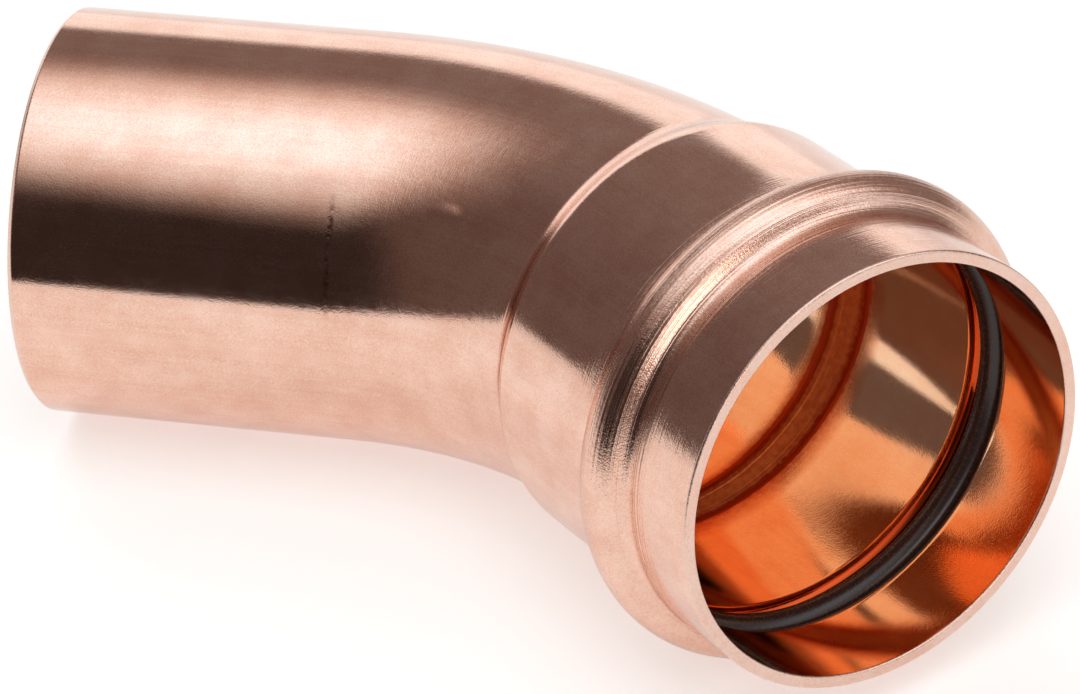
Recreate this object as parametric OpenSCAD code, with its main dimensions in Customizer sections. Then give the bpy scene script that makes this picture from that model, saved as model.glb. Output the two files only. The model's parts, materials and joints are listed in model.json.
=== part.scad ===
// Copper press elbow: a plain spigot, a bend, and a press socket that holds its own seal.
// It lies on its side, on the spigot and on the bead round the socket. The origin is the centre
// of the spigot's end, +X runs up the spigot, +Z is up, and the socket turns towards -Y.

/* [Tube] */
// Outside diameter of the tube that the fitting joins, and of the spigot
tube_d = 54; // [35:1:76]
// Thickness of the copper, the same along the whole fitting
wall = 1.6; // [1.2:0.1:2.2]
// Length of the straight spigot, from its end to the bend
spigot_len = 42; // [25:1:80]
// Chamfer round the outside of the spigot's end
spigot_chamfer = 0.6; // [0.2:0.1:1]

/* [Bend] */
// Angle that the fitting turns through
bend_angle = 45; // [30:1:90]
// Radius of the bend, along the middle of the tube
bend_r = 66; // [50:1:120]

/* [Socket] */
// Depth of the socket, from its mouth to the shoulder where the tube stops
socket_depth = 40.5; // [34:0.5:60]
// Gap all round between the socket and the tube pushed into it
tube_gap = 0.3; // [0.2:0.05:0.6]
// Length of the shoulder, which widens the last of the bend out to the socket
shoulder_len = 4.4; // [4:0.1:7]
// Fillet outside, where the bend meets the shoulder
shoulder_root_r = 1.2; // [0.6:0.1:1.8]
// Fillet inside, where the shoulder meets the socket
stop_fillet_r = 0.7; // [0.3:0.1:1.2]
// Chamfer on both edges of the mouth
mouth_chamfer = 0.25; // [0.1:0.05:0.5]

/* [Seal] */
// Thickness of the sealing ring's round cord
seal_cord_d = 3.7; // [2.5:0.1:4.5]
// Gap all round between the sealing ring and the tube, until the joint is pressed
seal_tube_gap = 0.15; // [0.05:0.05:0.4]
// Gap between the sealing ring and the floor of its groove
seal_seat_gap = 0.05; // [0.02:0.01:0.2]
// Distance from the mouth to the middle of the bead that holds the ring
bead_from_mouth = 16; // [11:0.5:22]
// Fillet outside, on each side of the bead
bead_root_r = 1.5; // [1:0.1:2.5]

/* [Hidden] */
$fn = 180;

tube_r = tube_d / 2;
socket_r = tube_r + tube_gap + wall;

// How far hollows run on past an open end
overrun = 2;
// How far an arc bites into the straight or curve that it blends with, so that the two cross
arc_bite = 0.001;

// The shoulder starts under the skin of the bend, which dips as it curves away from the socket
root_sink = 0.1;
bend_outside_r = bend_r + tube_r;
shoulder_foot_r = tube_r - root_sink
    - (bend_outside_r - sqrt(bend_outside_r ^ 2 - shoulder_len ^ 2));
shoulder_edge_r = stop_fillet_r + wall;
root_centre = [shoulder_foot_r + shoulder_root_r, -shoulder_len];
edge_centre = [socket_r - shoulder_edge_r, 0];
flank_span = edge_centre - root_centre;
flank_angle = atan2(flank_span.x, flank_span.y)
    + asin((shoulder_root_r + shoulder_edge_r) / norm(flank_span));
flank_normal = [cos(flank_angle), -sin(flank_angle)];

// The bead's crest wraps the sealing ring, and a fillet leads up to it on each side
seal_ring_r = tube_r + seal_tube_gap + seal_cord_d / 2;
crest_arc_r = seal_cord_d / 2 + seal_seat_gap + wall;
bead_root_ring_r = socket_r + bead_root_r;
bead_arcs_r = bead_root_r + crest_arc_r;
bead_arc_angle = acos((bead_root_ring_r - seal_ring_r) / bead_arcs_r);
bead_half_w = bead_arcs_r * sin(bead_arc_angle);
bead_z = socket_depth - bead_from_mouth;

// At rest the socket's axis is lifted until the spigot and the bead touch one level floor
bead_reach = bend_r * tan(bend_angle / 2) + bead_z;
socket_lift = atan2(seal_ring_r, bead_reach)
    - asin((tube_r - crest_arc_r) / norm([seal_ring_r, bead_reach]));
rest_roll = asin(sin(socket_lift) / sin(bend_angle));

// Half section of the socket at a depth below its outer skin, drawn from the axis outwards, with
// the straight wall starting at 0. The mouth's edge is cut back by rim, or opened out if it is below 0.
module socket_section(depth, rim) {
    r = socket_r - depth;
    flank_low = root_centre - (shoulder_root_r + depth) * flank_normal;
    flank_high = edge_centre + (shoulder_edge_r - depth) * flank_normal;
    crest_r = crest_arc_r - depth;
    crest_start = crest_r * [cos(bead_arc_angle), sin(bead_arc_angle)];
    difference() {
        polygon([
            [0, -shoulder_len],
            [shoulder_foot_r - depth + shoulder_root_r / 2, -shoulder_len],
            flank_low,
            flank_high,
            [r, 0],
            [r, bead_z - bead_half_w],
            [seal_ring_r + crest_start.x, bead_z - crest_start.y],
            [seal_ring_r + crest_start.x, bead_z + crest_start.y],
            [r, bead_z + bead_half_w],
            [r, socket_depth - mouth_chamfer],
            [r - rim, socket_depth],
            [0, socket_depth],
        ]);
        translate(root_centre) circle(shoulder_root_r + depth + arc_bite);
        for (side = [-1, 1])
            translate([bead_root_ring_r, bead_z + side * bead_half_w])
                circle(bead_root_r + depth + arc_bite);
    }
    translate(edge_centre) circle(shoulder_edge_r - depth + arc_bite);
    translate([seal_ring_r, bead_z]) circle(crest_r + arc_bite);
}

// Puts what is drawn along +Z on the spigot's axis, starting at the bend
module at_spigot()
    translate([0, bend_r, 0]) rotate([0, -90, 0]) children();

// Puts what is drawn along +Z on the socket's axis, starting at the end of the bend
module at_socket()
    rotate([0, 0, -bend_angle]) translate([0, bend_r, 0]) rotate([0, 90, 0]) children();

// Lays what is drawn about the bend's centre on its side, as the fitting comes to rest
module at_rest()
    rotate([-rest_roll, 0, 0]) translate([spigot_len, -bend_r, 0]) children();

module bend(r)
    rotate_extrude(angle = bend_angle, start = 90 - bend_angle)
        translate([bend_r, 0]) circle(r);

module elbow_skin() {
    at_spigot() rotate_extrude()
        polygon([
            [0, 0],
            [tube_r, 0],
            [tube_r, spigot_len - spigot_chamfer],
            [tube_r - spigot_chamfer, spigot_len],
            [0, spigot_len],
        ]);
    bend(tube_r);
    at_socket() rotate_extrude() socket_section(0, mouth_chamfer);
}

module elbow_bore() {
    at_spigot() cylinder(r = tube_r - wall, h = spigot_len + overrun);
    bend(tube_r - wall);
    at_socket() {
        rotate_extrude() socket_section(wall, -mouth_chamfer);
        translate([0, 0, socket_depth]) cylinder(r = socket_r - wall + mouth_chamfer, h = overrun);
    }
}

module copper_elbow()
    color("#c98567") at_rest() difference() {
        elbow_skin();
        elbow_bore();
    }

module sealing_ring()
    color("#2b2321") at_rest() at_socket()
        translate([0, 0, bead_z]) rotate_extrude()
            translate([seal_ring_r, 0]) circle(d = seal_cord_d);

copper_elbow();
sealing_ring();
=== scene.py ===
import json
import math

import bmesh
import bpy
from mathutils import Matrix, Vector


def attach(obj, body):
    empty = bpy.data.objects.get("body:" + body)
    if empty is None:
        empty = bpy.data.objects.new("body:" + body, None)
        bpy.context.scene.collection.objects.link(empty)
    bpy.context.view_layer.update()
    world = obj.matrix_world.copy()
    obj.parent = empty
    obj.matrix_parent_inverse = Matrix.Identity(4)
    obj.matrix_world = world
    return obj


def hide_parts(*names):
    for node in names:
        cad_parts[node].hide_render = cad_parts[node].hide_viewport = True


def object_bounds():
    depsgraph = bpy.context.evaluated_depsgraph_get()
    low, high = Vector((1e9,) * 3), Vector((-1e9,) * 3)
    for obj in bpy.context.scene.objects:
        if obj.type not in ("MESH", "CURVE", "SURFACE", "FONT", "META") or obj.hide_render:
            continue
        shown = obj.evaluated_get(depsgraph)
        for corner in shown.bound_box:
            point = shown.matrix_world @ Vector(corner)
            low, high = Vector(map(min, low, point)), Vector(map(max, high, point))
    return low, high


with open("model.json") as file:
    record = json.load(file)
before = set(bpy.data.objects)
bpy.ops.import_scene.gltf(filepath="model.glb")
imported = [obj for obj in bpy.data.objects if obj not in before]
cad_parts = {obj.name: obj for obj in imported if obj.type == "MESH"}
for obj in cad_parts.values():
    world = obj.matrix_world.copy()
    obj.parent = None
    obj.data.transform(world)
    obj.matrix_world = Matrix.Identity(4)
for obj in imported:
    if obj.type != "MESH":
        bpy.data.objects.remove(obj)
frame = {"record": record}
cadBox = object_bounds()
mm = 0.001
mounts = {mount["name"]: mount for mount in frame["record"]["mounts"]}
print("frame loaded, CAD box", [tuple(round(v, 4) for v in corner) for corner in cadBox])


def linear(hexColour):
    channels = [int(hexColour[i:i + 2], 16) / 255 for i in (1, 3, 5)]
    return [c / 12.92 if c <= 0.04045 else ((c + 0.055) / 1.055) ** 2.4 for c in channels] + [1.0]


# adds a node: settings are sockets, properties or a ramp's stops, links go from an output to a socket
def addNode(tree, kind, settings=None, links=None):
    node = tree.nodes.new(kind)
    for name, value in (settings or {}).items():
        if name == "stops":
            elements = node.color_ramp.elements
            while len(elements) < len(value):
                elements.new(1.0)
            for element, (place, colour) in zip(elements, value):
                element.position, element.color = place, linear(colour)
        elif isinstance(name, int) or name in node.inputs:
            node.inputs[name].default_value = value
        else:
            setattr(node, name, value)
    for name, output in (links or {}).items():
        tree.links.new(output, node.inputs[name])
    return node


def startMaterial(name):
    material = bpy.data.materials.new(name)
    material.use_nodes = True
    material.node_tree.nodes.clear()
    return material, material.node_tree


def finishPiece(name, bm, materials):
    bmesh.ops.remove_doubles(bm, verts=bm.verts, dist=1e-7)
    bmesh.ops.recalc_face_normals(bm, faces=bm.faces)
    mesh = bpy.data.meshes.new(name)
    bm.to_mesh(mesh)
    bm.free()
    for polygon in mesh.polygons:
        polygon.use_smooth = True
    for material in materials:
        mesh.materials.append(material)
    piece = bpy.data.objects.new(name, mesh)
    bpy.context.scene.collection.objects.link(piece)
    return piece


# camera: a long lens, looking down on the fitting from the socket's side
camera = {
    "place": (188.648, -482.876, 360.507),   # mm
    "aim": (65.504, -8.301, -9.375),         # mm, on the optical axis
    "roll": -3.463,                          # degrees, anticlockwise
    "lens": 156.8,                           # mm
    "sensor": 36.0,                          # mm, its width
    "clipEnd": 20.0,                         # m
}


def setCamera():
    data = bpy.data.cameras.new("camera")
    data.lens = camera["lens"]
    data.sensor_width = camera["sensor"]
    data.clip_end = camera["clipEnd"]
    eye = bpy.data.objects.new("camera", data)
    place = Vector(camera["place"]) * mm
    view = Vector(camera["aim"]) * mm - place
    turn = view.to_track_quat("-Z", "Y").to_matrix().to_4x4()
    roll = Matrix.Rotation(math.radians(camera["roll"]), 4, "Z")
    eye.matrix_world = Matrix.Translation(place) @ turn @ roll
    bpy.context.scene.collection.objects.link(eye)
    bpy.context.scene.camera = eye


setCamera()
print("camera set")


# the copper tube, all in mm, measured along the middle of the tube from the spigot's end
elbow = {
    "tubeR": mounts["spigot"]["dims"]["r_mm"],
    "socketR": mounts["press_socket"]["dims"]["r_mm"],   # inside
    "wall": 1.6,
    "spigotLen": 42.0,
    "spigotChamfer": 0.6,
    "bendR": 66.0,
    "bendAngle": 45.0,
    "shoulder": {"len": 7.0, "rootR": 7.0, "edgeR": 6.0},   # outside
    "stop": {"len": 4.4, "rootR": 2.8, "edgeR": 0.9},       # inside, where the tube ends
    "socketDepth": 40.5,
    "beadFromMouth": 16.0,
    "beadRootR": 1.5,
    "grooveRootR": 2.0,   # inside, on each side of the seal's groove
    "rimR": 0.25,         # on the edges of both ends
    "around": 192,        # faces round the tube
    "support": 0.12,      # a ring this near each blend keeps the straight walls true
    # rings of faces along each stretch
    "rings": {"spigot": 8, "bend": 70, "fillet": 12, "flank": 3, "wall": 6, "crest": 26, "lip": 4,
              "rim": 6, "face": 2, "bore": 4, "chamfer": 1, "chamferEdge": 3},
}
# the seal, in mm, which the bead's groove is wrapped round
seal = {
    "cordD": 3.7,
    "tubeGap": 0.15,
    "seatGap": 0.05,
    "hang": 0.3,    # how far it hangs out of its seat
    "swell": 0.1,   # how much thicker the loose cord is
    "around": 192,
    "cordFaces": 32,
}
ringR = elbow["tubeR"] + seal["tubeGap"] + seal["cordD"] / 2
crestR = seal["cordD"] / 2 + seal["seatGap"] + elbow["wall"]
beadZ = elbow["socketDepth"] - elbow["beadFromMouth"]
bendEnd = elbow["spigotLen"] + elbow["bendR"] * math.radians(elbow["bendAngle"])
socketAxis = Vector(mounts["press_socket"]["axis"])
restRoll = Matrix.Rotation(-math.atan2(socketAxis.z, -socketAxis.y), 4, "X")


# where the tube's middle is at a distance along it, turned so that +Z runs along the tube
def alongTube(s):
    straight = min(s, elbow["spigotLen"])
    angle = min(max(s - elbow["spigotLen"], 0) / elbow["bendR"], math.radians(elbow["bendAngle"]))
    past = max(s - bendEnd, 0)
    x = straight + elbow["bendR"] * math.sin(angle) + past * math.cos(angle)
    y = -elbow["bendR"] * (1 - math.cos(angle)) - past * math.sin(angle)
    turn = Matrix.Rotation(-angle, 4, "Z") @ Matrix.Rotation(math.radians(90), 4, "Y")
    return restRoll @ Matrix.Translation(Vector((x, y, 0)) * mm) @ turn


def arc(centre, r, start, end, steps):
    angles = [math.radians(start + (end - start) * i / steps) for i in range(steps + 1)]
    return [(centre[0] + r * math.cos(a), centre[1] + r * math.sin(a)) for a in angles]


# a straight run between two points, with a ring close to each end
def run(start, end, rings):
    length = math.hypot(end[0] - start[0], end[1] - start[1])
    near = elbow["support"] / length
    shares = [near] + [near + (1 - 2 * near) * i / rings for i in range(1, rings)] + [1 - near]
    return [(start[0] + (end[0] - start[0]) * t, start[1] + (end[1] - start[1]) * t) for t in shares]


# half section of the socket, at a depth below the outer skin: shoulder, wall, bead and lip
def socketOutline(depth):
    rings = elbow["rings"]
    r = elbow["socketR"] + elbow["wall"] - depth
    step = elbow["stop"] if depth else elbow["shoulder"]
    rootCentre = (-step["len"], elbow["tubeR"] - depth + step["rootR"])
    edgeCentre = (0.0, r - step["edgeR"])
    span = (edgeCentre[0] - rootCentre[0], edgeCentre[1] - rootCentre[1])
    flank = math.degrees(math.atan2(span[1], span[0])
                         + math.asin((step["rootR"] + step["edgeR"]) / math.hypot(*span)))
    root = arc(rootCentre, step["rootR"], -90, -90 + flank, rings["fillet"])
    edge = arc(edgeCentre, step["edgeR"], 90 + flank, 90, rings["fillet"])

    beadRootR = elbow["grooveRootR"] if depth else elbow["beadRootR"]
    beadRootRing = r + beadRootR
    arcsR = beadRootR + crestR - depth
    beadHalf = math.sqrt(arcsR ** 2 - (beadRootRing - ringR) ** 2)
    lean = math.degrees(math.asin((beadRootRing - ringR) / arcsR))
    rearRoot = arc((beadZ - beadHalf, beadRootRing), beadRootR, -90, -lean, rings["fillet"])
    crest = arc((beadZ, ringR), crestR - depth, 180 - lean, lean, rings["crest"])
    frontRoot = arc((beadZ + beadHalf, beadRootRing), beadRootR, 180 + lean, 270, rings["fillet"])

    lipEnd = (elbow["socketDepth"] - elbow["rimR"], r)
    outline = root + run(root[-1], edge[0], rings["flank"]) + edge
    outline += run(edge[-1], rearRoot[0], rings["wall"]) + rearRoot + crest[1:-1] + frontRoot
    outline += run(frontRoot[-1], lipEnd, rings["lip"])
    return [(bendEnd + z, radius) for z, radius in outline]


# the straight spigot and the bend, at a depth below the outer skin, up to the shoulder
def tubeOutline(depth, startS):
    r = elbow["tubeR"] - depth
    spigot = run((startS, r), (elbow["spigotLen"], r), elbow["rings"]["spigot"])
    shoulderStart = bendEnd - (elbow["stop"] if depth else elbow["shoulder"])["len"]
    rings = elbow["rings"]["bend"]
    step = (shoulderStart - elbow["spigotLen"]) / rings
    return spigot + [(elbow["spigotLen"] + step * i, r) for i in range(rings)]


# outlines of the wall's five stretches, each with its finish
def elbowSections():
    wall, rim, chamfer = elbow["wall"], elbow["rimR"], elbow["spigotChamfer"]
    tubeR, socketR, rings = elbow["tubeR"], elbow["socketR"], elbow["rings"]
    mouth = bendEnd + elbow["socketDepth"]
    chamferEnd = chamfer + rim * math.tan(math.radians(22.5))
    chamferEdge = arc((chamferEnd, tubeR - rim), rim, 135, 90, rings["chamferEdge"])
    endEdge = [(0.0, tubeR - chamfer)]
    endEdge += run(endEdge[0], chamferEdge[0], rings["chamfer"]) + chamferEdge
    outside = tubeOutline(0, chamferEnd) + socketOutline(0)
    rimFace = arc((mouth - rim, socketR + wall - rim), rim, 90, 0, rings["rim"])
    rimFace += run((mouth, socketR + wall - rim), (mouth, socketR + rim), rings["face"])
    rimFace += arc((mouth - rim, socketR + rim), rim, 0, -90, rings["rim"])
    inside = list(reversed(tubeOutline(wall, rim) + socketOutline(wall)))
    inside += arc((rim, tubeR - wall + rim), rim, 270, 180, rings["bore"])
    endFace = run((0.0, tubeR - wall + rim), (0.0, tubeR - chamfer), rings["face"])
    return [(endEdge, "cutCopperEdge"), (outside, "polishedCopper"), (rimFace, "cutCopperEdge"),
            (inside, "drawnCopperInside"), (endFace, "cutCopperEdge")]


# how far forming shows on the copper, and how far the painted shade in the inside creases reaches: most,
# less the distance in mm over fall, kept between 0 and 1
forming = {
    "bead": {"most": 2.0, "fall": 5.0},
    "shoulder": {"most": 0.7, "fall": 8.0},
    "lip": 0.35,
    "bend": {"most": 0.2, "rise": 15.0, "lead": 3.0},   # it starts a little before the bend
    "stop": {"most": 2.0, "fall": 2.0},                 # inside
    # painted shade, not forming: in the stop's two creases and behind the seal, inside
    "creases": {"most": 1.7, "fall": 0.5, "pastRoot": 0.65, "beforeEdge": 0.45, "behindSeal": 2.6},
}


def fallOff(settings, distance):
    return settings["most"] - abs(distance) / settings["fall"]


# how much the tube was worked at a distance along it: most on the bead, less on the shoulder,
# the lip and the bend, and inside only at the stop
def workedAt(s, inside):
    z = s - bendEnd
    if inside:
        shares = [fallOff(forming["stop"], z + elbow["stop"]["len"] / 2)]
    else:
        bend = forming["bend"]
        bent = min((s - elbow["spigotLen"] + bend["lead"]) / bend["rise"], bend["most"])
        shares = [fallOff(forming["bead"], z - beadZ),
                  fallOff(forming["shoulder"], z + elbow["shoulder"]["len"] / 2),
                  forming["lip"] if z > beadZ else 0, bent if z < 0 else 0]
    return min(max(*shares, 0), 1)


# how much painted shade darkens it: only inside, in the two creases of the stop and behind the seal
def creaseShadeAt(s, inside):
    z, creases = s - bendEnd, forming["creases"]
    distances = [z + elbow["stop"]["len"] - creases["pastRoot"], z + creases["beforeEdge"],
                 z - beadZ + creases["behindSeal"]]
    return min(max(*[fallOff(creases, distance) for distance in distances], 0), 1) if inside else 0


def edgesAmong(ring, grown):
    members = set(ring)
    return [g for g in grown if isinstance(g, bmesh.types.BMEdge) and members.issuperset(g.verts)]


# a ring at the spigot's end is drawn out along the outlines, up the outside and back down the inside
def makeElbow(materials):
    sections = elbowSections()
    bm = bmesh.new()
    unbentLayer = bm.verts.layers.float_vector.new("unbent")
    workedLayer = bm.verts.layers.float.new("worked")
    # painted shade for the inside creases and behind the seal, per vertex
    creaseShadeLayer = bm.verts.layers.float.new("tarnish")
    s, r = sections[0][0][0]
    place = alongTube(s) @ Matrix.Scale(r * mm, 4)
    bmesh.ops.create_circle(bm, segments=elbow["around"], radius=1.0, matrix=place)
    firstEdges = edges = list(bm.edges)
    travelled = 0.0
    for outline, finish in sections:
        isInside = finish == "drawnCopperInside"
        finishSlot = list(finishes).index(finish)
        for nextS, nextR in outline:
            if (nextS, nextR) == (s, r):
                continue
            travelled += math.hypot(nextS - s, nextR - r) * mm
            grown = bmesh.ops.extrude_edge_only(bm, edges=edges)["geom"]
            ring = [g for g in grown if isinstance(g, bmesh.types.BMVert)]
            edges = edgesAmong(ring, grown)
            nextPlace = alongTube(nextS) @ Matrix.Scale(nextR * mm, 4)
            bmesh.ops.transform(bm, matrix=nextPlace @ place.inverted(), verts=ring)
            for vert in ring:
                local = nextPlace.inverted() @ vert.co * nextR * mm
                vert[unbentLayer] = (local.x, local.y, travelled)
                vert[workedLayer] = workedAt(nextS, isInside)
                vert[creaseShadeLayer] = creaseShadeAt(nextS, isInside)
            for face in grown:
                if isinstance(face, bmesh.types.BMFace):
                    face.material_index = finishSlot
            s, r, place = nextS, nextR, nextPlace
    bmesh.ops.bridge_loops(bm, edges=edges + firstEdges)
    return finishPiece("copperTube", bm, materials)


def makeSeal(material):
    bm = bmesh.new()
    upright = Matrix.Rotation(math.radians(90), 4, "X")
    place = Matrix.Translation(((ringR - seal["hang"]) * mm, 0, 0)) @ upright
    cordR = (seal["cordD"] + seal["swell"]) / 2
    bmesh.ops.create_circle(bm, segments=seal["cordFaces"], radius=cordR * mm, matrix=place)
    bmesh.ops.spin(bm, geom=bm.verts[:] + bm.edges[:], cent=(0, 0, 0), axis=(0, 0, 1), dvec=(0, 0, 0),
                   angle=math.radians(360), steps=seal["around"], use_merge=True, use_duplicate=False)
    bmesh.ops.transform(bm, matrix=alongTube(bendEnd + beadZ), verts=bm.verts)
    return finishPiece("rubberSeal", bm, [material])


# copper, drawn and polished: a warm mirror with a fine grain, rougher where the bead was rolled
copper = {
    "stain": 6.0,            # mm, size of the paler and warmer patches
    "grain": 0.2,            # mm, drawn coarser than it is
    "grainHeight": (0.006, 0.03),    # mm, on the plain tube and where it was rolled
    "grainShare": 1.2,       # of the grain in the tint
    "peel": 0.9,             # mm, the soft waves left by polishing and by bending
    "peelHeight": (0.004, 0.012),    # mm
    "peelFull": 0.3,         # share of working at which the waves are highest
    "lines": 0.34,           # mm, spacing of the rolling lines, drawn coarser than they are
    "lineHeight": (0.0005, 0.09),    # mm
    "streak": (0.7, 30.0),   # mm, width and length of the drawing streaks, drawn coarser than they are
    "streakShare": 0.35,     # of the streaks in the tint
    "tintSpread": 0.25,      # a smaller one gives more contrast
    "broken": (0.42, 0.6),   # parts of the waves where marks and blotches begin and are full
    "formed": "#ffab70",     # on the stop
    # one dark colour for painted shade in the inside creases and behind the seal, and for real tarnish
    # blotches on the stop
    "tarnish": "#c04a22",    # in its creases
    "mottle": 0.25,          # of the tarnish, in blotches on the stop
    # marks of the bending tool, in mm
    "rub": {"place": (57.8, -21.0, 20.3), "squeeze": (0.5, 0.9, 1.1), "r": 1.7, "height": 0.1},
    "crease": {"place": (42.9, -22.9, 13.5), "along": 42.9, "width": 0.9, "reach": (4.5, 8.5),
               "depth": 0.02, "colour": "#a07a69"},
}
finishes = {
    # the outside, a pale rosy mirror
    "polishedCopper": {"light": "#fbd4c1", "deep": "#e8b6a0", "roughness": (0.07, 0.12), "depth": 1.0,
                       "workedRough": 0.06},
    # the bore, left as drawn: deeper and more orange, dull only on the stop
    "drawnCopperInside": {"light": "#ffd0ab", "deep": "#f5bb92", "roughness": (0.05, 0.09), "depth": 0.7,
                          "workedRough": 0.3},
    # both ends, cut flat: paler and duller
    "cutCopperEdge": {"light": "#f8d8ca", "deep": "#eec2ae", "roughness": (0.22, 0.34), "depth": 2.5,
                      "workedRough": 0.06},
}


# the stop's deeper colour, with painted shade in its creases and behind the seal, and real tarnish in
# blotches on the stop
def addShadeAndTarnish(tree, tone, worked, broken):
    tarnish = addNode(tree, "ShaderNodeAttribute", {"attribute_name": "tarnish"})
    formed = addNode(tree, "ShaderNodeMix", {"data_type": "RGBA", 7: linear(copper["formed"])},
                     {0: worked, 6: tone})
    mottled = addNode(tree, "ShaderNodeMath", {"operation": "MULTIPLY", 1: copper["mottle"]},
                      {0: worked})
    # painted shade from the creases and behind the seal, added to real tarnish blotches on the stop
    shadeAndBlotches = addNode(tree, "ShaderNodeMath", {"operation": "MULTIPLY_ADD", "use_clamp": True},
                       {0: mottled.outputs[0], 1: broken, 2: tarnish.outputs["Fac"]})
    darkened = addNode(tree, "ShaderNodeMix", {"data_type": "RGBA", 7: linear(copper["tarnish"])},
                       {0: shadeAndBlotches.outputs[0], 6: formed.outputs[2]})
    return darkened.outputs[2]


# a rub raised where the bend starts, and a broken crease round the tube in front of it
def addToolMarks(tree, tone, height, place, along, broken):
    rub, crease = copper["rub"], copper["crease"]
    toRub = addNode(tree, "ShaderNodeVectorMath",
                    {"operation": "SUBTRACT", 1: Vector(rub["place"]) * mm}, {0: place})
    squeezed = addNode(tree, "ShaderNodeVectorMath", {"operation": "MULTIPLY", 1: rub["squeeze"]},
                       {0: toRub.outputs[0]})
    rubFar = addNode(tree, "ShaderNodeVectorMath", {"operation": "LENGTH"}, {0: squeezed.outputs[0]})
    rubRise = addNode(tree, "ShaderNodeMapRange",
                      {"interpolation_type": "SMOOTHERSTEP", "From Max": rub["r"] * mm,
                       "To Min": rub["height"] * mm, "To Max": 0.0}, {"Value": rubFar.outputs["Value"]})
    withRub = addNode(tree, "ShaderNodeMath", {"operation": "ADD"},
                      {0: height, 1: rubRise.outputs["Result"]})

    toCrease = addNode(tree, "ShaderNodeMath", {"operation": "SUBTRACT", 1: crease["along"] * mm},
                       {0: along})
    creaseFar = addNode(tree, "ShaderNodeMath", {"operation": "ABSOLUTE"}, {0: toCrease.outputs[0]})
    creaseLine = addNode(tree, "ShaderNodeMapRange",
                         {"interpolation_type": "SMOOTHSTEP", "From Min": crease["width"] * mm,
                          "From Max": 0.0}, {"Value": creaseFar.outputs[0]})
    fromMiddle = addNode(tree, "ShaderNodeVectorMath",
                         {"operation": "DISTANCE", 1: Vector(crease["place"]) * mm}, {0: place})
    nearEnd, farEnd = crease["reach"]
    creaseShare = addNode(tree, "ShaderNodeMapRange", {"From Min": farEnd * mm, "From Max": nearEnd * mm},
                          {"Value": fromMiddle.outputs["Value"]})
    wholeCrease = addNode(tree, "ShaderNodeMath", {"operation": "MULTIPLY"},
                          {0: creaseLine.outputs["Result"], 1: creaseShare.outputs["Result"]})
    inCrease = addNode(tree, "ShaderNodeMath", {"operation": "MULTIPLY"},
                       {0: wholeCrease.outputs[0], 1: broken})
    marked = addNode(tree, "ShaderNodeMath", {"operation": "MULTIPLY_ADD", 1: -crease["depth"] * mm},
                     {0: inCrease.outputs[0], 2: withRub.outputs[0]})
    darkened = addNode(tree, "ShaderNodeMix", {"data_type": "RGBA", 7: linear(crease["colour"])},
                       {0: inCrease.outputs[0], 6: tone})
    return darkened.outputs[2], marked.outputs[0]


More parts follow.
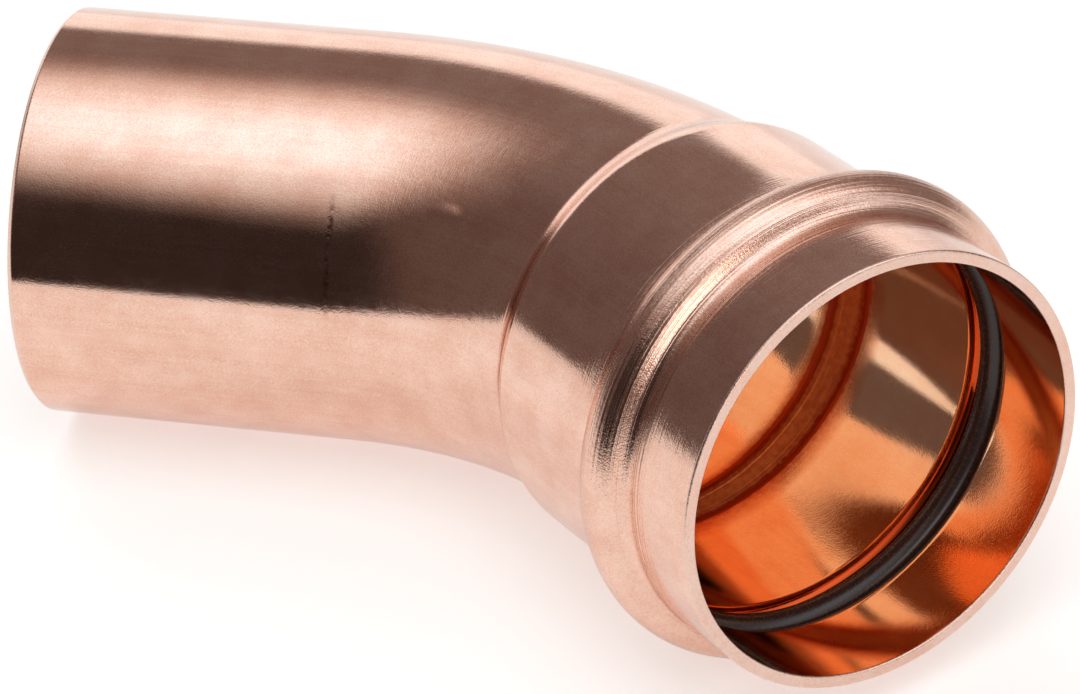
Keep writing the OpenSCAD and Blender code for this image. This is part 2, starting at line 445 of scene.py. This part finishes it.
def copperMaterial(name):
    finish = finishes[name]
    material, tree = startMaterial(name)
    place = addNode(tree, "ShaderNodeTexCoord").outputs["Object"]
    unbent = addNode(tree, "ShaderNodeAttribute", {"attribute_name": "unbent"}).outputs["Vector"]
    worked = addNode(tree, "ShaderNodeAttribute", {"attribute_name": "worked"}).outputs["Fac"]
    along = addNode(tree, "ShaderNodeSeparateXYZ", links={0: unbent}).outputs["Z"]

    # tint and shine, from patches, drawing streaks and grain
    stain = addNode(tree, "ShaderNodeTexNoise",
                    {"Scale": 1 / (copper["stain"] * mm), "Detail": 6.0, "Roughness": 0.6},
                    {"Vector": place})
    width, length = copper["streak"]
    drawn = addNode(tree, "ShaderNodeVectorMath", {"operation": "MULTIPLY", 1: (1, 1, width / length)},
                    {0: unbent})
    streak = addNode(tree, "ShaderNodeTexNoise", {"Scale": 1 / (width * mm), "Detail": 3.0},
                     {"Vector": drawn.outputs[0]})
    grain = addNode(tree, "ShaderNodeTexNoise", {"Scale": 1 / (copper["grain"] * mm), "Detail": 1.5},
                    {"Vector": place})
    streaked = addNode(tree, "ShaderNodeMath", {"operation": "MULTIPLY_ADD", 1: copper["streakShare"]},
                       {0: streak.outputs["Fac"], 2: stain.outputs["Fac"]})
    patch = addNode(tree, "ShaderNodeMath", {"operation": "MULTIPLY_ADD", 1: copper["grainShare"]},
                    {0: grain.outputs["Fac"], 2: streaked.outputs[0]})
    middle = (1 + copper["streakShare"] + copper["grainShare"]) / 2
    spread = copper["tintSpread"]
    tint = addNode(tree, "ShaderNodeMapRange", {"From Min": middle - spread, "From Max": middle + spread},
                   {"Value": patch.outputs[0]})
    colour = addNode(tree, "ShaderNodeValToRGB",
                     {"stops": [(0.0, finish["deep"]), (1.0, finish["light"])]},
                     {"Fac": tint.outputs["Result"]})
    low, high = finish["roughness"]
    shine = addNode(tree, "ShaderNodeMapRange", {"To Min": low, "To Max": high},
                    {"Value": tint.outputs["Result"]})
    roughness = addNode(tree, "ShaderNodeMath", {"operation": "MULTIPLY_ADD", 1: finish["workedRough"]},
                        {0: worked, 2: shine.outputs["Result"]})

    # one height for the bump, in metres: waves, grain and rolling lines
    rolled = addNode(tree, "ShaderNodeMath", {"operation": "POWER", 1: 2.0}, {0: worked}).outputs[0]
    peel = addNode(tree, "ShaderNodeTexNoise", {"Scale": 1 / (copper["peel"] * mm)}, {"Vector": place})
    lines = addNode(tree, "ShaderNodeTexNoise",
                    {"noise_dimensions": "1D", "Scale": 1 / (copper["lines"] * mm), "Detail": 3.0},
                    {"W": along})
    depth = finish["depth"] * mm
    heights = {}
    for part, amount, full in (("grainHeight", rolled, 1.0), ("lineHeight", rolled, 1.0),
                               ("peelHeight", worked, copper["peelFull"])):
        plain, most = copper[part]
        heights[part] = addNode(tree, "ShaderNodeMapRange",
                                {"From Max": full, "To Min": plain * depth, "To Max": most * depth},
                                {"Value": amount}).outputs["Result"]
    peelRise = addNode(tree, "ShaderNodeMath", {"operation": "MULTIPLY"},
                       {0: peel.outputs["Fac"], 1: heights["peelHeight"]})
    grainRise = addNode(tree, "ShaderNodeMath", {"operation": "MULTIPLY_ADD"},
                        {0: grain.outputs["Fac"], 1: heights["grainHeight"], 2: peelRise.outputs[0]})
    surface = addNode(tree, "ShaderNodeMath", {"operation": "MULTIPLY_ADD"},
                      {0: lines.outputs["Fac"], 1: heights["lineHeight"], 2: grainRise.outputs[0]})

    tone, height = colour.outputs["Color"], surface.outputs[0]
    start, full = copper["broken"]
    broken = addNode(tree, "ShaderNodeMapRange", {"From Min": start, "From Max": full},
                     {"Value": peel.outputs["Fac"]}).outputs["Result"]
    if name == "drawnCopperInside":
        tone = addShadeAndTarnish(tree, tone, worked, broken)
    if name == "polishedCopper":
        tone, height = addToolMarks(tree, tone, height, place, along, broken)
    bump = addNode(tree, "ShaderNodeBump", {"Strength": 1.0, "Distance": 1.0}, {"Height": height})
    metal = addNode(tree, "ShaderNodeBsdfPrincipled", {"Metallic": 1.0},
                    {"Base Color": tone, "Roughness": roughness.outputs[0],
                     "Normal": bump.outputs["Normal"]})
    addNode(tree, "ShaderNodeOutputMaterial", links={"Surface": metal.outputs["BSDF"]})
    return material


# EPDM rubber, moulded: near black, a soft satin shine
rubber = {
    "light": "#3b2b28",
    "deep": "#332522",
    "tintEnds": (0.3, 0.7),      # parts of the grain that are deep and light
    "roughness": (0.25, 0.29),
    "ior": 1.52,
    "grain": 0.4,                # mm, drawn coarser than it is
    "grainHeight": 0.0005,       # mm
}


def rubberMaterial():
    material, tree = startMaterial("mouldedRubber")
    place = addNode(tree, "ShaderNodeTexCoord")
    grain = addNode(tree, "ShaderNodeTexNoise", {"Scale": 1 / (rubber["grain"] * mm), "Detail": 3.0},
                    {"Vector": place.outputs["Object"]})
    low, high = rubber["roughness"]
    shine = addNode(tree, "ShaderNodeMapRange", {"To Min": low, "To Max": high},
                    {"Value": grain.outputs["Fac"]})
    deepEnd, lightEnd = rubber["tintEnds"]
    tint = addNode(tree, "ShaderNodeValToRGB",
                   {"stops": [(deepEnd, rubber["deep"]), (lightEnd, rubber["light"])]},
                   {"Fac": grain.outputs["Fac"]})
    bump = addNode(tree, "ShaderNodeBump", {"Strength": 1.0, "Distance": rubber["grainHeight"] * mm},
                   {"Height": grain.outputs["Fac"]})
    body = addNode(tree, "ShaderNodeBsdfPrincipled", {"IOR": rubber["ior"]},
                   {"Base Color": tint.outputs["Color"], "Roughness": shine.outputs["Result"],
                    "Normal": bump.outputs["Normal"]})
    addNode(tree, "ShaderNodeOutputMaterial", links={"Surface": body.outputs["BSDF"]})
    return material


copperTube = makeElbow([copperMaterial(name) for name in finishes])
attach(copperTube, "root")
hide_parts("copper_elbow")
print("copper tube", len(copperTube.data.polygons), "faces")
rubberSeal = makeSeal(rubberMaterial())
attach(rubberSeal, "root")
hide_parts("sealing_ring")
print("rubber seal", len(rubberSeal.data.polygons), "faces")

# studio: a white floor, and over it a dome that only mirrors see, with a softbox above a dim warm room
studio = {
    "white": "#ffffff",
    "middle": (65, -30),           # mm, of the floor
    "heart": (65, -42, 10),        # mm, where the dome's directions are measured from
    "floorSize": 4.0,              # m
    "floorColour": "#f6f5f4",
    "floorGlow": (0.5, 0.36),      # own light for the eye and for mirrors, on top of the lamps
    "domeMiddle": (65, 170),       # mm
    "domeReach": (1.2, 0.45, 0.9),   # m, half its length and depth, and its height
    "domeFaces": (96, 48),         # round it and up it
    "darkest": -16.0,              # degrees from the front to the right, where the room is dimmest
    "roomColours": ((0.0, "#332b29"), (0.025, "#352d2b"), (0.08, "#5f524e"), (0.5, "#6b5d5a"),
                    (1.0, "#897c79")),
    "softboxLean": -3.0,           # degrees, to the front where it is below 0
    "softboxGlow": 1.6,
    "softboxColours": ((0.66, "#000000"), (0.75, "#4c4542"), (0.82, "#857e7a"), (0.88, "#aeaba9"),
                       (0.95, "#cad2d6"), (1.0, "#e3f3ff")),   # by the cosine of the angle across it
    "softboxEnd": (-0.8, -0.32),   # sine of the angle along it where it begins
    "sideLight": {"turn": 48.0, "rise": 15.0, "glow": 2.4, "edge": (0.96, 0.985)},
    "backdropGlow": 1.12,
    "backdropTop": (0.26, 0.36),   # sine of the height at which the white backdrop ends
    "backdropTurn": -156.0,        # degrees from the front to the right
    "backdropSide": (0.82, 0.9),   # cosine of the angle to either side where it begins
    "lamps": {                     # places and sizes in m, power in W
        "keyLamp": {"place": (0.1, -0.4, 0.9), "power": 3.0, "size": 0.7},
        "fillLamp": {"place": (-0.3, 0.5, 0.8), "power": 1.7, "size": 0.8},
    },
    "worldGlow": (0.35, 1.0),      # what reaches rough surfaces, and what the eye and mirrors see
}
floorMiddle = Vector((*studio["middle"], cadBox[0][2] / mm)) * mm
domeMiddle = Vector((*studio["domeMiddle"], cadBox[0][2] / mm)) * mm


def floorMaterial():
    material, tree = startMaterial("paleFloor")
    path = addNode(tree, "ShaderNodeLightPath")
    mirrored = addNode(tree, "ShaderNodeMath", {"operation": "MAXIMUM"},
                       {0: path.outputs["Is Glossy Ray"], 1: path.outputs["Is Transmission Ray"]})
    toEye, toMirrors = studio["floorGlow"]
    eyeGlow = addNode(tree, "ShaderNodeMath", {"operation": "MULTIPLY", 1: toEye},
                      {0: path.outputs["Is Camera Ray"]})
    strength = addNode(tree, "ShaderNodeMath", {"operation": "MULTIPLY_ADD", 1: toMirrors},
                       {0: mirrored.outputs[0], 2: eyeGlow.outputs[0]})
    paper = addNode(tree, "ShaderNodeBsdfDiffuse", {"Color": linear(studio["floorColour"])})
    glow = addNode(tree, "ShaderNodeEmission", {"Color": linear(studio["floorColour"])},
                   {"Strength": strength.outputs[0]})
    both = addNode(tree, "ShaderNodeAddShader", links={0: paper.outputs[0], 1: glow.outputs[0]})
    addNode(tree, "ShaderNodeOutputMaterial", links={"Surface": both.outputs["Shader"]})
    return material


# the direction that lies at a turn from the front to the right and a rise above the level
def towards(turn, rise=0.0):
    turn, rise = math.radians(turn), math.radians(rise)
    return (math.sin(turn) * math.cos(rise), -math.cos(turn) * math.cos(rise), math.sin(rise))


# the dim room, by how far a level direction turns from its dimmest part
def addRoom(tree, flat):
    fromDarkest = addNode(tree, "ShaderNodeVectorMath",
                          {"operation": "DOT_PRODUCT", 1: towards(studio["darkest"])}, {0: flat})
    turned = addNode(tree, "ShaderNodeMapRange", {"From Min": 1.0, "From Max": -1.0},
                     {"Value": fromDarkest.outputs["Value"]})
    room = addNode(tree, "ShaderNodeValToRGB", {"stops": studio["roomColours"]},
                   {"Fac": turned.outputs["Result"]})
    return addNode(tree, "ShaderNodeEmission", links={"Color": room.outputs["Color"]}).outputs[0]


# a long softbox overhead, brightest along its middle and dying away to one end
def addSoftbox(tree, direction, lengthwise):
    crossing = addNode(tree, "ShaderNodeVectorMath", {"operation": "MULTIPLY", 1: (0, 1, 1)},
                       {0: direction})
    across = addNode(tree, "ShaderNodeVectorMath", {"operation": "NORMALIZE"}, {0: crossing.outputs[0]})
    lean = math.radians(studio["softboxLean"])
    fromBox = addNode(tree, "ShaderNodeVectorMath",
                      {"operation": "DOT_PRODUCT", 1: (0, math.sin(lean), math.cos(lean))},
                      {0: across.outputs[0]})
    darkEnd = studio["softboxColours"][0][0] - 1
    start, full = studio["softboxEnd"]
    fade = addNode(tree, "ShaderNodeMapRange",
                   {"interpolation_type": "SMOOTHSTEP", "From Min": start, "From Max": full,
                    "To Min": darkEnd, "To Max": 0.0}, {"Value": lengthwise})
    inBox = addNode(tree, "ShaderNodeMath", {"operation": "ADD"},
                    {0: fromBox.outputs["Value"], 1: fade.outputs["Result"]})
    softbox = addNode(tree, "ShaderNodeValToRGB", {"stops": studio["softboxColours"]},
                      {"Fac": inBox.outputs[0]})
    return addNode(tree, "ShaderNodeEmission", {"Strength": studio["softboxGlow"]},
                   {"Color": softbox.outputs["Color"]}).outputs[0]


# a small round light low at the right
def addSideLight(tree, direction):
    side = studio["sideLight"]
    fromSide = addNode(tree, "ShaderNodeVectorMath",
                       {"operation": "DOT_PRODUCT", 1: towards(side["turn"], side["rise"])},
                       {0: direction})
    start, full = side["edge"]
    strength = addNode(tree, "ShaderNodeMapRange",
                       {"interpolation_type": "SMOOTHSTEP", "From Min": start, "From Max": full,
                        "To Max": side["glow"]}, {"Value": fromSide.outputs["Value"]})
    return addNode(tree, "ShaderNodeEmission", {"Color": linear(studio["white"])},
                   {"Strength": strength.outputs["Result"]}).outputs[0]


# where the white backdrop behind the fitting covers the room
def addBackdropShare(tree, flat, height):
    full, end = studio["backdropTop"]
    low = addNode(tree, "ShaderNodeMapRange",
                  {"interpolation_type": "SMOOTHSTEP", "From Min": end, "From Max": full},
                  {"Value": height})
    fromBackdrop = addNode(tree, "ShaderNodeVectorMath",
                           {"operation": "DOT_PRODUCT", 1: towards(studio["backdropTurn"])}, {0: flat})
    start, full = studio["backdropSide"]
    beside = addNode(tree, "ShaderNodeMapRange",
                     {"interpolation_type": "SMOOTHSTEP", "From Min": start, "From Max": full},
                     {"Value": fromBackdrop.outputs["Value"]})
    return addNode(tree, "ShaderNodeMath", {"operation": "MULTIPLY"},
                   {0: low.outputs["Result"], 1: beside.outputs["Result"]}).outputs[0]


def domeMaterial():
    material, tree = startMaterial("studioDome")
    place = addNode(tree, "ShaderNodeTexCoord")
    away = addNode(tree, "ShaderNodeVectorMath",
                   {"operation": "SUBTRACT", 1: Vector(studio["heart"]) * mm},
                   {0: place.outputs["Object"]})
    direction = addNode(tree, "ShaderNodeVectorMath", {"operation": "NORMALIZE"},
                        {0: away.outputs[0]}).outputs[0]
    level = addNode(tree, "ShaderNodeVectorMath", {"operation": "MULTIPLY", 1: (1, 1, 0)},
                    {0: away.outputs[0]})
    flat = addNode(tree, "ShaderNodeVectorMath", {"operation": "NORMALIZE"},
                   {0: level.outputs[0]}).outputs[0]
    axes = addNode(tree, "ShaderNodeSeparateXYZ", links={0: direction})

    softbox = addSoftbox(tree, direction, axes.outputs["X"])
    sideLight = addSideLight(tree, direction)
    boxes = addNode(tree, "ShaderNodeAddShader", links={0: softbox, 1: sideLight})
    lights = addNode(tree, "ShaderNodeAddShader", links={0: addRoom(tree, flat), 1: boxes.outputs[0]})
    backdrop = addNode(tree, "ShaderNodeEmission",
                       {"Color": linear(studio["white"]), "Strength": studio["backdropGlow"]})
    share = addBackdropShare(tree, flat, axes.outputs["Z"])
    seen = addNode(tree, "ShaderNodeMixShader",
                   links={0: share, 1: lights.outputs[0], 2: backdrop.outputs[0]})
    addNode(tree, "ShaderNodeOutputMaterial", links={"Surface": seen.outputs["Shader"]})
    return material


def makeFloor():
    bm = bmesh.new()
    bmesh.ops.create_grid(bm, x_segments=1, y_segments=1, size=studio["floorSize"] / 2,
                          matrix=Matrix.Translation(floorMiddle))
    finishPiece("paleFloor", bm, [floorMaterial()])


def makeDome():
    facesRound, facesUp = studio["domeFaces"]
    reach = Matrix.Diagonal((*studio["domeReach"], 1))
    bm = bmesh.new()
    bmesh.ops.create_uvsphere(bm, u_segments=facesRound, v_segments=facesUp, radius=1.0,
                              matrix=Matrix.Translation(domeMiddle) @ reach)
    bmesh.ops.bisect_plane(bm, geom=bm.verts[:] + bm.edges[:] + bm.faces[:], plane_co=domeMiddle,
                           plane_no=(0, 0, 1), clear_inner=True)
    dome = finishPiece("studioDome", bm, [domeMaterial()])
    dome.visible_camera = False
    dome.visible_diffuse = False
    dome.visible_shadow = False
    dome.visible_transmission = False


def setLamps():
    for name, settings in studio["lamps"].items():
        data = bpy.data.lights.new(name, "AREA")
        data.energy = settings["power"]
        data.size = settings["size"]
        lamp = bpy.data.objects.new(name, data)
        place = Vector(settings["place"])
        view = (floorMiddle - place).to_track_quat("-Z", "Y").to_matrix().to_4x4()
        lamp.matrix_world = Matrix.Translation(place) @ view
        lamp.visible_glossy = False    # the dome gives the reflections
        bpy.context.scene.collection.objects.link(lamp)


def setWorld():
    world = bpy.data.worlds.new("studio")
    world.use_nodes = True
    tree = world.node_tree
    tree.nodes.clear()
    path = addNode(tree, "ShaderNodeLightPath")
    mirrored = addNode(tree, "ShaderNodeMath", {"operation": "MAXIMUM"},
                       {0: path.outputs["Is Glossy Ray"], 1: path.outputs["Is Transmission Ray"]})
    seen = addNode(tree, "ShaderNodeMath", {"operation": "MAXIMUM"},
                   {0: mirrored.outputs[0], 1: path.outputs["Is Camera Ray"]})
    toRough, toEye = studio["worldGlow"]
    strength = addNode(tree, "ShaderNodeMapRange", {"To Min": toRough, "To Max": toEye},
                       {"Value": seen.outputs[0]})
    back = addNode(tree, "ShaderNodeBackground", {"Color": linear(studio["white"])},
                   {"Strength": strength.outputs["Result"]})
    addNode(tree, "ShaderNodeOutputWorld", links={"Surface": back.outputs["Background"]})
    bpy.context.scene.world = world


makeFloor()
makeDome()
setLamps()
setWorld()
bpy.context.scene.view_settings.view_transform = "Standard"
print("studio set")
